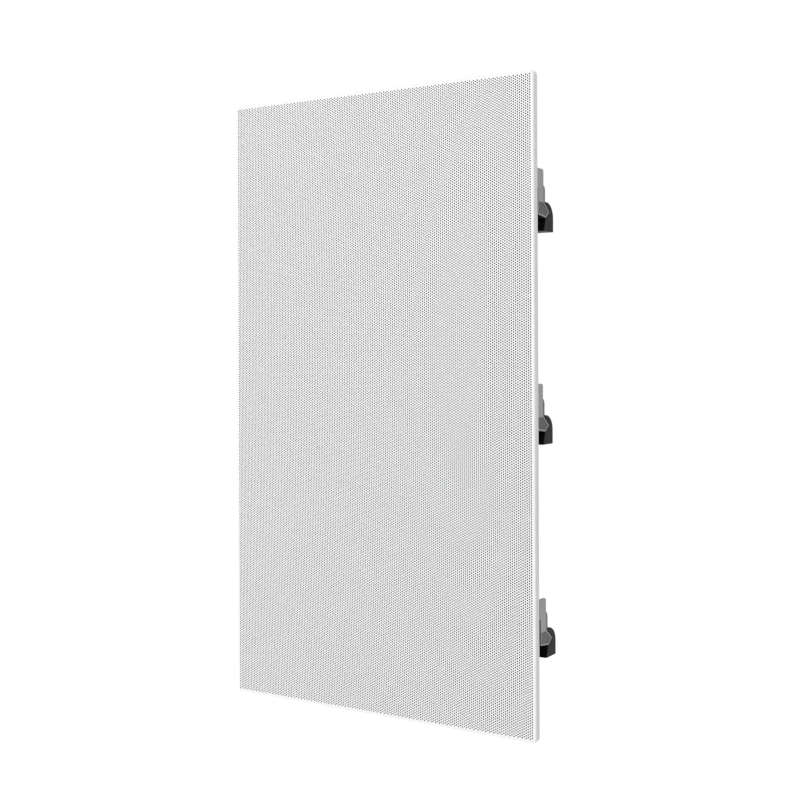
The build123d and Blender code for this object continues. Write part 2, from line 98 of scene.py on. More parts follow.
# %% [markdown]
# ## Camera, light and floor
# The photograph was taken from the right of the panel, a little above its middle, with a long lens held
# level. The camera is set first, because every later choice is judged through it. Its picture is moved up
# by a small lens shift, as with a view camera, so that the upright edges stay upright.

# %% Camera
camera_place = (491.6, -761.1, 43.0)
camera_heading = 31.91
camera_pitch = 0.06
camera_roll = 0.23
camera_lens = 57.56
camera_shift = -0.075

camera_data = bpy.data.cameras.new("photo_camera")
camera_data.lens = camera_lens
camera_data.shift_y = camera_shift
camera_data.clip_start = 0.01
camera = put("photo_camera", camera_data)
camera.location = np.array(camera_place) * MM
camera.rotation_euler = [math.radians(a) for a in (90 + camera_pitch, camera_roll, camera_heading)]
scene.camera = camera
scene.view_settings.view_transform = "Standard"
print("camera", camera_place, "lens", camera_lens)

# %% [markdown]
# Lights and finishes alike are built from shader nodes. A few helpers add a node, fill its inputs and do
# sums, and each gives back what the next node needs.


# %% Node helpers
def add_node(tree, kind, **settings):
    """A new node with some of its settings changed."""
    node = tree.nodes.new(kind)
    for name, value in settings.items():
        setattr(node, name, value)
    return node


def feed(tree, node, **values):
    """Fills a node's inputs, named by words or numbers, with links or with plain values."""
    for name, value in values.items():
        socket = node.inputs[int(name[1:])] if name[0] == "_" else node.inputs[name.replace("_", " ")]
        if isinstance(value, bpy.types.NodeSocket):
            tree.links.new(value, socket)
        else:
            socket.default_value = value
    return node


def math_node(tree, operation, *values, kind="ShaderNodeMath"):
    """What one Math node, or a Vector Math one, makes of links or plain values."""
    node = add_node(tree, kind, operation=operation)
    return feed(tree, node, **{f"_{i}": value for i, value in enumerate(values)}).outputs[0]


def parts_of(tree, vector):
    """The X, Y and Z of a vector."""
    return feed(tree, add_node(tree, "ShaderNodeSeparateXYZ"), _0=vector).outputs


def humps(tree, value):
    """A row of humps, one to each step of the value: |sin(pi v)|."""
    return math_node(tree, "ABSOLUTE", math_node(tree, "SINE", math_node(tree, "MULTIPLY", value, math.pi)))


def scaled(tree, value, low, high):
    """A value from 0 to 1 spread over a range."""
    spread = add_node(tree, "ShaderNodeMapRange")
    return feed(tree, spread, Value=value, To_Min=low, To_Max=high).outputs["Result"]


def noise(tree, **values):
    """What one Noise Texture node makes of its inputs."""
    return feed(tree, add_node(tree, "ShaderNodeTexNoise"), **values).outputs[0]


# %% [markdown]
# The light is a studio's: a pale surround, one large soft lamp in front of the panel and one overhead. The
# surround and the floor show as plain white to the camera and in reflections, and light the object at a
# lower level, so that white paint stays just under white. The floor lies far below, so that the panel's
# shadow stays clear of the picture.

# %% Surround, lamps and floor
surround_level = 0.52
floor_glow = 0.52
floor_colour = 0.93
floor_roughness = 0.9
floor_drop = 0.78
floor_half = 6.0


def seen_directly(tree):
    """1 for rays from the camera, a reflection or something clear, and 0 for those that light a surface."""
    path = add_node(tree, "ShaderNodeLightPath").outputs
    opaque = math_node(tree, "MAXIMUM", path["Is Camera Ray"], path["Is Glossy Ray"])
    return math_node(tree, "MAXIMUM", opaque, path["Is Transmission Ray"])


def make_surround():
    """An even white surround, which lights less than it shows."""
    world = bpy.data.worlds.new("studio_surround")
    world.use_nodes = True
    tree = world.node_tree
    strength = scaled(tree, seen_directly(tree), surround_level, 1.0)
    feed(tree, tree.nodes["Background"], Color=(1, 1, 1, 1), Strength=strength)
    scene.world = world


def add_lamp(name, place, size, power):
    """A square soft lamp, in metres, turned to the origin."""
    data = bpy.data.lights.new(name, "AREA")
    data.size = size
    data.energy = power
    lamp = put(name, data)
    x, y, z = place
    lamp.location = place
    lamp.rotation_euler = (math.atan2(math.hypot(x, y), z), 0, math.atan2(x, -y))


def make_floor():
    """A wide plain floor that glows for the camera, so that it shows white."""
    level = cad_low.z - floor_drop
    corners = np.array([(-1, -1), (1, -1), (1, 1), (-1, 1)]) * floor_half
    mesh = bpy.data.meshes.new("floor")
    mesh.from_pydata([(x, y, level) for x, y in corners], [], [(0, 1, 2, 3)])
    put("floor", mesh)
    paint = bpy.data.materials.new("floor_paint")
    paint.use_nodes = True
    tree = paint.node_tree
    colour = (floor_colour, floor_colour, floor_colour, 1)
    feed(tree, tree.nodes["Principled BSDF"], Base_Color=colour, Roughness=floor_roughness,
         Emission_Color=(1, 1, 1, 1), Emission_Strength=scaled(tree, seen_directly(tree), 0.0, floor_glow))
    mesh.materials.append(paint)


make_surround()
make_floor()
add_lamp("front_lamp", place=(-0.55, -2.05, 0.7), size=1.6, power=27.5)
add_lamp("top_lamp", place=(0.3, 0.7, 2.2), size=2.0, power=14)
print("surround", surround_level, "floor", floor_drop, "m below the panel")

# %% [markdown]
# ## Finishes
# Every finish is a Principled shader with grain worked out from the object's own coordinates, so that it
# stays put on the piece and has a true scale. Effects that several finishes share are node groups, small
# shaders of their own: a fine grain, a weave, and rings for what was turned on a lathe. They give back
# plain numbers. What a number does, be it colour, gloss or relief, is left to the finish.


# %% Empty groups
def new_group(name, inputs, outputs):
    """An empty shader group with float or vector inputs and float outputs."""
    tree = bpy.data.node_groups.new(name, "ShaderNodeTree")
    for label, value in inputs.items():
        kind = "NodeSocketVector" if value is None else "NodeSocketFloat"
        socket = tree.interface.new_socket(label, in_out="INPUT", socket_type=kind)
        if value is not None:
            socket.default_value = value
    for label in outputs:
        tree.interface.new_socket(label, in_out="OUTPUT", socket_type="NodeSocketFloat")
    start, end = add_node(tree, "NodeGroupInput"), add_node(tree, "NodeGroupOutput")
    return tree, start.outputs, end


# %% Grain, weave and lathe rings
blotch_share = 0.04
broad_share = 0.12
ring_gain = 1.5
ring_offset = -1.0


def make_grain_group():
    """Two sizes of noise: Blotch drifts slowly from 0 to 1, and Grain is fine."""
    tree, given, end = new_group("surface_grain", {"Place": None, "Fineness": 900.0}, ("Grain", "Blotch"))
    fine = noise(tree, Vector=given["Place"], Scale=given["Fineness"], Detail=3.0, Roughness=0.6)
    coarse_scale = math_node(tree, "MULTIPLY", given["Fineness"], blotch_share)
    coarse = noise(tree, Vector=given["Place"], Scale=coarse_scale, Detail=2.0)
    feed(tree, end, Grain=fine, Blotch=coarse)
    return tree


def make_weave_group():
    """Plain weave in X and Z: crossed threads, each |sin| across, one or the other on top by turns."""
    tree, given, end = new_group("plain_weave", {"Place": None, "Threads": 1200.0}, ("Height",))
    part = parts_of(tree, given["Place"])
    across = math_node(tree, "MULTIPLY", part["X"], given["Threads"])
    along = math_node(tree, "MULTIPLY", part["Z"], given["Threads"])
    warp, weft = humps(tree, across), humps(tree, along)
    turn = math_node(tree, "ADD", math_node(tree, "FLOOR", across), math_node(tree, "FLOOR", along))
    over = math_node(tree, "FLOORED_MODULO", turn, 2.0)
    mix = add_node(tree, "ShaderNodeMix", data_type="FLOAT")
    feed(tree, end, Height=feed(tree, mix, _0=over, _2=weft, _3=warp).outputs[0])
    return tree


def make_lathe_group():
    """Rings round an axis along Y, fine and broad: noise that reads only distance from the axis and depth."""
    tree, given, end = new_group("lathe_rings", {"Place": None, "Fineness": 2500.0}, ("Rings",))
    part = parts_of(tree, given["Place"])
    x2 = math_node(tree, "MULTIPLY", part["X"], part["X"])
    z2 = math_node(tree, "MULTIPLY", part["Z"], part["Z"])
    radius = math_node(tree, "SQRT", math_node(tree, "ADD", x2, z2))
    spot = feed(tree, add_node(tree, "ShaderNodeCombineXYZ"), X=radius, Y=part["Y"]).outputs[0]
    fine = noise(tree, Vector=spot, Scale=given["Fineness"], Detail=2.0)
    broad_scale = math_node(tree, "MULTIPLY", given["Fineness"], broad_share)
    broad = noise(tree, Vector=spot, Scale=broad_scale, Detail=1.0)
    both = math_node(tree, "ADD", fine, broad)
    feed(tree, end, Rings=math_node(tree, "MULTIPLY_ADD", both, ring_gain, ring_offset))
    return tree


grain_group, weave_group, lathe_group = make_grain_group(), make_weave_group(), make_lathe_group()
print("groups", list(bpy.data.node_groups.keys()))


# %% [markdown]
# Most finishes differ only in their numbers: two shades, a range of gloss, and how fine and deep the grain
# is. One function makes all of those, and the special ones share its first steps.


# %% Building a finish
def start_finish(name, roughness=0.5, metallic=0.0):
    """A new material, its node tree, its Principled shader and the object's coordinates."""
    material = bpy.data.materials.new(name)
    material.use_nodes = True
    tree = material.node_tree
    shader = feed(tree, tree.nodes["Principled BSDF"], Roughness=roughness, Metallic=metallic)
    place = add_node(tree, "ShaderNodeTexCoord").outputs["Object"]
    return material, tree, shader, place


def use_group(tree, group, **values):
    """A shared group placed in a material with values of its own: its outputs."""
    node = add_node(tree, "ShaderNodeGroup", node_tree=group)
    return feed(tree, node, **values).outputs


def between(tree, value, first, second):
    """A colour that goes from one to another as the value goes from 0 to 1."""
    mix = add_node(tree, "ShaderNodeMix", data_type="RGBA")
    return feed(tree, mix, _0=value, _6=(*first, 1), _7=(*second, 1)).outputs[2]


def raise_bumps(tree, shader, height, depth):
    """Bumps on the shader's normal, with a depth in millimetres."""
    bump = feed(tree, add_node(tree, "ShaderNodeBump"), Height=height, Distance=depth * MM, Strength=1.0)
    feed(tree, shader, Normal=bump.outputs["Normal"])


def grained(name, dark, light, rough, fineness, bump, metallic=0.0, shine=0.5):
    """Paint, plastic, plated metal and the like: drifting colour, fine grain in gloss and relief."""
    material, tree, shader, place = start_finish(name, metallic=metallic)
    grain = use_group(tree, grain_group, Place=place, Fineness=fineness)
    tone, gloss = between(tree, grain["Blotch"], dark, light), scaled(tree, grain["Grain"], *rough)
    feed(tree, shader, Base_Color=tone, Roughness=gloss, Specular_IOR_Level=shine)
    raise_bumps(tree, shader, grain["Grain"], bump)
    return material


def grey(level, tint=(1.0, 1.0, 1.0)):
    """A shade of grey, or of a tint."""
    return tuple(level * part for part in tint)


finish = {}

# %% [markdown]
# The grille is powder coated. Its colour is the same all over, and what shows the powder is a slight
# unevenness in gloss and a fine orange peel. The walls of the narrow holes have a finish of their own, a
# dark grey that is painted shade. The cloth behind is a thin black weave.

# %% Grille paint and cloth
paint_white = 0.9
hole_wall_shade_grey = 0.16


def make_powder_coat_and_shade(name, level):
    """Powder paint, and the painted shade of the hole walls: one grey all over, uneven gloss and a fine
    orange peel.
    """
    material, tree, shader, place = start_finish(name)
    grain = use_group(tree, grain_group, Place=place, Fineness=2200.0)
    gloss = scaled(tree, grain["Blotch"], 0.46, 0.64)
    feed(tree, shader, Base_Color=(*grey(level), 1), Roughness=gloss)
    raise_bumps(tree, shader, grain["Grain"], 0.012)
    return material


def make_cloth(name, threads, dark, light, depth):
    """Woven cloth with painted shade: darker in the hollows between threads, lighter on their crowns; matt,
    with a little sheen.
    """
    material, tree, shader, place = start_finish(name, roughness=0.9)
    weave = use_group(tree, weave_group, Place=place, Threads=threads)
    # Painted shade: the colour follows the weave's height, darker in the hollows between the threads.
    feed(tree, shader, Base_Color=between(tree, weave["Height"], dark, light), Sheen_Weight=0.15)
    raise_bumps(tree, shader, weave["Height"], depth)
    return material


finish["grille_paint"] = make_powder_coat_and_shade("grille_paint", paint_white)
# The hole walls' dark grey is painted shade.
hole_wall_shade = make_powder_coat_and_shade("hole_wall_painted_shade", hole_wall_shade_grey)
finish["scrim_cloth"] = make_cloth("scrim_cloth", 1300.0, grey(0.008), grey(0.035), 0.12)

# %% [markdown]
# The rest is moulded plastic, painted steel, coated paper and rubber, most of it black. Black pieces are
# told apart by their gloss and grain: the frame is finely matt from its mould, the baskets have a satin
# paint, paper is fibrous and rubber is dull.

# %% Plastics, paint, paper and rubber
cement_tint = (1, 0.98, 0.94)
ferrite_tint = (1.0, 1.0, 1.04)
foot_shine = 0.12

# Dark and light shade, least and most roughness, fineness of the grain and its depth in millimetres. Two
# more numbers, where there are any, say how metallic it is and how much it shines.
plain_finishes = {
    "frame_plastic": (grey(0.018), grey(0.026), (0.5, 0.72), 1500.0, 0.03),
    "tweeter_plastic": (grey(0.016), grey(0.022), (0.4, 0.6), 1700.0, 0.02),
    "terminal_plastic": (grey(0.02), grey(0.026), (0.3, 0.42), 1200.0, 0.01),
    "lever_black": (grey(0.02), grey(0.03), (0.25, 0.38), 1200.0, 0.01),
    "lever_red": ((0.42, 0.016, 0.014), (0.5, 0.03, 0.025), (0.25, 0.38), 1200.0, 0.01),
    "basket_paint": (grey(0.022), grey(0.03), (0.3, 0.44), 500.0, 0.02),
    "surround_rubber": (grey(0.014), grey(0.022), (0.6, 0.78), 2200.0, 0.01),
    "cone_paper": (grey(0.022), grey(0.04), (0.6, 0.85), 700.0, 0.1),
    "cap_paper": (grey(0.018), grey(0.03), (0.5, 0.75), 900.0, 0.06),
    "ferrite": (grey(0.03), grey(0.055, ferrite_tint), (0.42, 0.62), 800.0, 0.02),
    "resistor_cement": (grey(0.62, cement_tint), grey(0.74, cement_tint), (0.75, 0.95), 900.0, 0.06),
    "capacitor_film": ((0.5, 0.34, 0.03), (0.6, 0.43, 0.05), (0.18, 0.28), 300.0, 0.02),
    "foot_plastic": (grey(0.008), grey(0.014), (0.42, 0.6), 1300.0, 0.02, 0.0, foot_shine),
}
for name, numbers in plain_finishes.items():
    finish[name] = grained(name, *numbers)
finish["dome_silk"] = make_cloth("dome_silk", 3000.0, grey(0.012), grey(0.03), 0.03)
finish["spider_cloth"] = make_cloth("spider_cloth", 900.0, (0.26, 0.17, 0.06), (0.5, 0.36, 0.15), 0.1)


# %% [markdown]
# Metals get their colour from what they reflect. Cast zinc is mottled, with painted shade on all but its
# outer faces, which are painted lighter. Plated screws and brass bushes have hardly any grain, and the
# motors' steel shows the rings of the lathe that it was faced on.


# %% Metals
painted_light_depth = 0.15
painted_light_share = 0.62
mottle_share = 0.3
steel_grey = (0.56, 0.56, 0.55)
nickel_tint = (1, 0.98, 0.95)
brass_yellow = (0.78, 0.57, 0.25)
copper_dark, copper_light = (0.36, 0.13, 0.04), (0.55, 0.23, 0.08)


def turned_metal(name, colour, rough, middle):
    """Metal turned about an axis along Y, alike above and below the origin: rings in gloss and relief."""
    material, tree, shader, place = start_finish(name, metallic=1.0)
    upper = math_node(tree, "ABSOLUTE", place, kind="ShaderNodeVectorMath")
    spot = math_node(tree, "SUBTRACT", upper, middle, kind="ShaderNodeVectorMath")
    rings = use_group(tree, lathe_group, Place=spot, Fineness=2600.0)["Rings"]
    tone = between(tree, rings, grey(0.6, colour), colour)
    feed(tree, shader, Base_Color=tone, Roughness=scaled(tree, rings, *rough))
    raise_bumps(tree, shader, rings, 0.006)
    return material


def make_cast_zinc():
    """Cast zinc, mottled, with painted shade: darker except on the clamp's outermost faces, painted lighter.
    """
    material, tree, shader, place = start_finish("carrier_zinc", metallic=0.9)
    grain = use_group(tree, grain_group, Place=place, Fineness=700.0)
    part = parts_of(tree, place)
    # Painted shade: all but a thin depth of the outermost faces is darker, and those faces are painted
    # lighter.
    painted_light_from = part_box("upper_right_clamp_carrier")[1].x - painted_light_depth * MM
    painted_light = math_node(tree, "GREATER_THAN", math_node(tree, "ABSOLUTE", part["X"]), painted_light_from)
    mottle = math_node(tree, "MULTIPLY", grain["Blotch"], mottle_share)
    shade = math_node(tree, "MULTIPLY_ADD", painted_light, painted_light_share, mottle)
    tone = between(tree, shade, grey(0.055), grey(0.36))
    feed(tree, shader, Base_Color=tone, Roughness=scaled(tree, grain["Grain"], 0.38, 0.55))
    raise_bumps(tree, shader, grain["Grain"], 0.03)
    return material


woofer_axis = (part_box("upper_woofer_yoke")[0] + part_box("upper_woofer_yoke")[1]) / 2
finish["motor_steel"] = turned_metal("motor_steel", steel_grey, (0.24, 0.4), (0, 0, woofer_axis.z))
finish["carrier_zinc"] = make_cast_zinc()

metal_finishes = {
    "nickel": (grey(0.6, nickel_tint), grey(0.68, nickel_tint), (0.2, 0.3), 900.0, 0.004, 1.0),
    "clamp_steel": (grey(0.5), grey(0.6), (0.25, 0.4), 900.0, 0.006, 1.0),
    "screw_steel": (grey(0.05), grey(0.08), (0.3, 0.45), 900.0, 0.006, 0.8),
    "bush_brass": (grey(0.8, brass_yellow), brass_yellow, (0.2, 0.34), 900.0, 0.006, 1.0),
    "coil_wire": (copper_dark, copper_light, (0.22, 0.36), 500.0, 0.01, 0.9),
}
for name, numbers in metal_finishes.items():
    finish[name] = grained(name, *numbers)


# %% [markdown]
# Wound wire and the circuit board have finishes of their own: copper under brown varnish, and a green
# laminate on which the copper tracks show as lighter, raised strips. The tracks could be an image, but
# worked out from coordinates they stay sharp close up.

# %% Copper and laminate
voice_coil_pitch = 0.5
track_pitch = 4.6
track_length = 27.0
track_gap = 0.17
track_break = 0.03


def make_enamelled_copper():
    """Enamelled wire: a turn every pitch along the depth, copper under clear brown varnish."""
    material, tree, shader, place = start_finish("coil_copper", roughness=0.3, metallic=0.9)
    grain = use_group(tree, grain_group, Place=place, Fineness=600.0)
    copper = between(tree, grain["Blotch"], copper_dark, copper_light)
    feed(tree, shader, Base_Color=copper, Coat_Weight=0.5, Coat_Roughness=0.2)
    turns = math_node(tree, "MULTIPLY", parts_of(tree, place)["Y"], 1 / (voice_coil_pitch * MM))
    raise_bumps(tree, shader, humps(tree, turns), 0.1)
    return material


def make_laminate():
    """Green solder mask, lighter over copper tracks along X that break at chance places.

    Track number floor(z / pitch) has copper where the rest of z / pitch is past the gap's share, and where
    x / length, moved on by a random step for each track, is past the break's share.
    """
    material, tree, shader, place = start_finish("board_laminate", roughness=0.35)
    part = parts_of(tree, place)
    level = math_node(tree, "MULTIPLY", part["Z"], 1 / (track_pitch * MM))
    step = add_node(tree, "ShaderNodeTexWhiteNoise", noise_dimensions="1D")
    feed(tree, step, W=math_node(tree, "FLOOR", level))
    run = math_node(tree, "MULTIPLY_ADD", part["X"], 1 / (track_length * MM), step.outputs["Value"])
    beside = math_node(tree, "GREATER_THAN", math_node(tree, "FRACT", level), track_gap)
    along = math_node(tree, "GREATER_THAN", math_node(tree, "FRACT", run), track_break)
    copper = math_node(tree, "MULTIPLY", beside, along)
    feed(tree, shader, Base_Color=between(tree, copper, (0.007, 0.06, 0.024), (0.013, 0.1, 0.04)))
    raise_bumps(tree, shader, copper, 0.04)
    return material


finish["coil_copper"] = make_enamelled_copper()
finish["board_laminate"] = make_laminate()
print("finishes", len(finish))

# %% [markdown]
# ## Tools for making pieces
# Every new piece is a set of points worked out with numpy and put into a mesh at once. The helpers below
# make a mesh from arrays, weave quads through a grid of points, close a shell up, shade it and let the
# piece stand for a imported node, whose body and finish it then takes.


# %% Mesh helpers
weld = 0.001


def build_mesh(name, points, *face_sets):
    """An object from points in millimetres and arrays of faces, each array with its own number of corners."""
    mesh = bpy.data.meshes.new(name)
    corner_list = np.concatenate([faces.ravel() for faces in face_sets])
    sizes = np.concatenate([np.full(len(faces), faces.shape[1]) for faces in face_sets])
    starts = np.cumsum(sizes) - sizes
    mesh.vertices.add(len(points))
    mesh.loops.add(len(corner_list))
    mesh.polygons.add(len(sizes))
    mesh.vertices.foreach_set("co", (points * MM).astype(np.float32).ravel())
    mesh.loops.foreach_set("vertex_index", corner_list.astype(np.int32))
    mesh.polygons.foreach_set("loop_start", starts.astype(np.int32))
    mesh.update(calc_edges=True)
    mesh.validate()
    return put(name, mesh)


def grid_faces(rows, columns, wrap_rows=False, wrap_columns=False):
    """Quads between neighbouring points of a grid that is stored row by row."""
    row = np.arange(rows if wrap_rows else rows - 1)[:, None]
    column = np.arange(columns if wrap_columns else columns - 1)[None, :]
    row, column = np.broadcast_arrays(row, column)
    below, beside = (row + 1) % rows, (column + 1) % columns
    here, under = row * columns, below * columns
    return np.stack([here + column, here + beside, under + beside, under + column], -1).reshape(-1, 4)


def close_up(piece):
    """Joins points that lie together, drops faces with no area and turns all faces outwards."""
    mesh = piece.data
    shell = bmesh.new()
    shell.from_mesh(mesh)
    bmesh.ops.remove_doubles(shell, verts=shell.verts, dist=weld * MM)
    bmesh.ops.dissolve_degenerate(shell, edges=shell.edges, dist=weld * MM)
    bmesh.ops.recalc_face_normals(shell, faces=shell.faces)
    shell.to_mesh(mesh)
    shell.free()
    return piece


def set_shading(piece, sharp_angle=35.0):
    """Smooth faces, with edges kept sharp where the surface turns by more than an angle."""
    mesh = piece.data
    mesh.polygons.foreach_set("use_smooth", np.ones(len(mesh.polygons), bool))
    mesh.set_sharp_from_angle(angle=math.radians(sharp_angle))
    return piece


def stand_for(piece, node, rides=True):
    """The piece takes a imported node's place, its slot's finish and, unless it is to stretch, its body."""
    piece.data.materials.clear()
    piece.data.materials.append(finish[slot_of[node]])
    if rides:
        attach(piece, body_of[node])
    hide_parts(node)
    print(piece.name, len(piece.data.polygons), "faces")
    return piece


def finished(node, points, faces, sharp_angle, rides=True):
    """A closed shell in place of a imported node."""
    piece = build_mesh(node + "_finished", points, faces)
    return stand_for(set_shading(close_up(piece), sharp_angle), node, rides)


def node_box(node):
    """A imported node's lowest and highest corner, in millimetres."""
    low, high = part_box(node)
    return np.array(low) / MM, np.array(high) / MM


# %% [markdown]
# Rings, rolls and cans are round about one axis, so each is drawn as half a section and turned. A Screw
# modifier could do the same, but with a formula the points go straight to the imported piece's own centre.


# %% Turned pieces
def turned_mesh(profile, centre, segments, closed=False):
    """A profile of radius r and depth turned: x = X + r cos t, z = Z + r sin t, and the faces."""
    radius, depth = np.array(profile, float).T
    angle = 2 * np.pi * np.arange(segments) / segments
    x = centre[0] + radius[:, None] * np.cos(angle)
    z = centre[1] + radius[:, None] * np.sin(angle)
    points = np.stack([x, np.broadcast_to(depth[:, None], x.shape), z], -1).reshape(-1, 3)
    return points, grid_faces(len(profile), segments, wrap_rows=closed, wrap_columns=True)


# %% [markdown]
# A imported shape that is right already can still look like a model, because its edges are knife sharp. A
# copy of it is merged into flat faces and gets a fine round along its edges from a Bevel modifier, which
# catches the light.


# %% Softened copies
flat_angle = 0.5
edge_angle = 30.0


def softened(node, width, segments=1):
    """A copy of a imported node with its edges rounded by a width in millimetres."""
    mesh = frame["nodes"][node].data.copy()
    shell = bmesh.new()
    shell.from_mesh(mesh)
    bmesh.ops.remove_doubles(shell, verts=shell.verts, dist=weld * MM)
    flat = math.radians(flat_angle)
    bmesh.ops.dissolve_limit(shell, angle_limit=flat, verts=shell.verts, edges=shell.edges)
    shell.to_mesh(mesh)
    shell.free()
    piece = set_shading(put(node + "_finished", mesh), edge_angle)
    bevel = piece.modifiers.new("edge_round", "BEVEL")
    bevel.width = width * MM
    bevel.segments = segments
    bevel.limit_method = "ANGLE"
    bevel.angle_limit = math.radians(edge_angle)
    bevel.harden_normals = True
    return stand_for(piece, node)


# %% [markdown]
# ## The grille
# The grille is one sheet of steel, punched with some forty thousand round holes, crowned a few millimetres
# and folded over at its edge. At this size the holes are what the eye sees, so they are real openings. Each
# hole is six-sided, with its corners between its six neighbours: then the metal between two holes is one
# quad and between three holes one triangle, and the whole pattern is a handful of index sums on a grid.

# %% Sizes of the grille
grille_low, grille_high = node_box("grille_panel")
grille_half = grille_high[[0, 2]]
grille_back = grille_high[1]
crown = 6.5
grille_front = grille_low[1] + crown
sheet = 0.7
border = 2.0
fold_radius = 1.2
corner_radius = 3.0
hole_pitch = 1.7259
hole_columns = 164
hole_rows = 253
hole_radius = 0.5
column_step = hole_pitch * math.sqrt(3) / 2
face_half = grille_half - border
scrim_half = node_box("grille_scrim")[1][[0, 2]]


def crown_depth(x, z):
    """Depth of the crowned sheet's front: it rises as c (1 - a^2)(1 - b^2) from the border to the middle."""
    return grille_front - crown * (1 - (x / face_half[0]) ** 2) * (1 - (z / face_half[1]) ** 2)


# %% [markdown]
# A punched sheet has its holes in staggered columns, so that each hole has six neighbours at one distance.
# Here the lattice runs a little past the edge of the face. Its spare cells are plugged, and pulled in to
# end on that edge.

# %% Where the holes are
spare = 3
least_area = 1e-6


def hole_lattice():
    """Hole centres column by column, every other column half a pitch lower, with spare ones past the edge."""
    column = np.arange(-spare, hole_columns + spare)
    row = np.arange(-spare, hole_rows + spare)
    lowered = (hole_columns - 1 - column) % 2 / 2
    x = (column - (hole_columns - 1) / 2) * column_step
    z = (row[None, :] - (hole_rows - 1) / 2 + 0.25 - lowered[:, None]) * hole_pitch
    punched = ((column >= 0) & (column < hole_columns))[:, None] & ((row >= 0) & (row < hole_rows))[None, :]
    return np.broadcast_to(x[:, None], z.shape), z, punched, lowered


def hole_corners(x, z):
    """Six corners round each centre, on a hexagon with a round hole's area, pulled in to the face's edge."""
    reach = hole_radius * math.sqrt(2 * math.pi / (3 * math.sqrt(3)))
    angle = np.radians(60) * np.arange(6)
    corner_x = np.clip(x[..., None] + reach * np.cos(angle), -face_half[0], face_half[0])
    corner_z = np.clip(z[..., None] + reach * np.sin(angle), -face_half[1], face_half[1])
    return np.stack([corner_x.ravel(), corner_z.ravel()], -1)


def metal_faces(lowered, columns, rows):
    """Faces between holes, as numbers of their corners: three quads and two triangles for each hole.

    A corner's number is 6 times its hole's plus its place round the hole. The neighbour up and to the right
    is in the same row of the next column if this column is a lowered one, and one row up if it isn't.
    """
    cells = np.meshgrid(np.arange(columns - 1), np.arange(1, rows - 1), indexing="ij")
    column, row = (part.ravel() for part in cells)
    here = 6 * (column * rows + row)
    above = here + 6
    upper = 6 * ((column + 1) * rows + row + np.where(lowered[column] > 0, 0, 1))
    lower = upper - 6
    quads = np.concatenate([
        np.stack([here + 1, above + 5, above + 4, here + 2], -1),
        np.stack([here + 0, upper + 4, upper + 3, here + 1], -1),
        np.stack([here + 5, lower + 3, lower + 2, here + 0], -1),
    ])
    triangles = np.concatenate([
        np.stack([here + 1, upper + 3, above + 5], -1),
        np.stack([here + 0, lower + 2, upper + 4], -1),
    ])
    return quads, triangles


def drop_flat(faces, flat):
    """The faces that keep some area once their corners are pulled in: those whose shoelace sum isn't 0."""
    ring = flat[faces]
    following = np.roll(ring, -1, axis=1)
    area = (ring[..., 0] * following[..., 1] - ring[..., 1] * following[..., 0]).sum(1)
    return faces[np.abs(area) > least_area]


# %% [markdown]
# The sheet is cut into five upright bands, because one mesh of that many faces would be unwieldy. Their
# edge points agree, so no seam shows. The back is left open where cloth is glued to it.

# %% Perforated face
bands = 5


def make_grille_face():
    """The perforated sheet: its front, the walls of its holes and, beside the cloth, its back."""
    x, z, punched, lowered = hole_lattice()
    columns, rows = x.shape
    flat = hole_corners(x, z)
    front = np.insert(flat, 1, crown_depth(flat[:, 0], flat[:, 1]), axis=1)
    points = np.concatenate([front, front + [0, sheet, 0]])
    behind = len(front)
    hole, blank = np.flatnonzero(punched.ravel()), np.flatnonzero(~punched.ravel())
    side = np.arange(6)
    start, end = (6 * hole[:, None] + side).ravel(), (6 * hole[:, None] + (side + 1) % 6).ravel()
    walls = np.stack([start, end, end + behind, start + behind], -1)
    plugs = 6 * blank[:, None] + side
    fronts = [drop_flat(faces, flat) for faces in (*metal_faces(lowered, columns, rows), plugs)]
    backs = []
    for faces in fronts:
        bare = (np.abs(flat[faces]) > scrim_half).any(-1).all(-1)
        backs.append(faces[bare][:, ::-1] + behind)
    edges = np.linspace(0, columns, bands + 1).astype(int)
    for number in range(bands):
        mine = []
        for faces in (*fronts, *backs, walls):
            column = faces[:, 0] % behind // (6 * rows)
            mine.append(faces[(column >= edges[number]) & (column < edges[number + 1])])
        used, renumbered = np.unique(np.concatenate([faces.ravel() for faces in mine]), return_inverse=True)
        splits = np.cumsum([faces.size for faces in mine])[:-1]
        mine = [part.reshape(-1, faces.shape[1]) for part, faces in zip(np.split(renumbered, splits), mine)]
        piece = build_mesh(f"grille_face_{number + 1}", points[used], *mine)
        stand_for(set_shading(piece), "grille_panel")
        # The hole walls get the dark grey finish, which is painted shade.
        piece.data.materials.append(hole_wall_shade)
        shaded_wall = np.arange(len(piece.data.polygons)) >= len(piece.data.polygons) - len(mine[-1])
        piece.data.polygons.foreach_set("material_index", shaded_wall.astype(np.int32))
    print("holes", len(hole), "of", hole_radius * 2, "mm")


make_grille_face()


# %% [markdown]
# Round the perforated face runs a plain border, folded back over a small radius to a rim that stops just
# short of the wall: one profile, out over the fold and back inside it, carried round a rounded rectangle.


# %% Folded edge
corner_points = 8
fold_points = 6


def rounded_rectangle(half, radius):
    """Points round a rectangle with arcs at its corners: corner centre plus r (cos t, sin t)."""
    turn = np.linspace(0, np.pi / 2, corner_points)
    angle = (np.arange(4)[:, None] * np.pi / 2 + turn).ravel()
    signs = np.repeat([(1, 1), (-1, 1), (-1, -1), (1, -1)], corner_points, axis=0)
    return signs * (half - radius) + radius * np.stack([np.cos(angle), np.sin(angle)], -1)


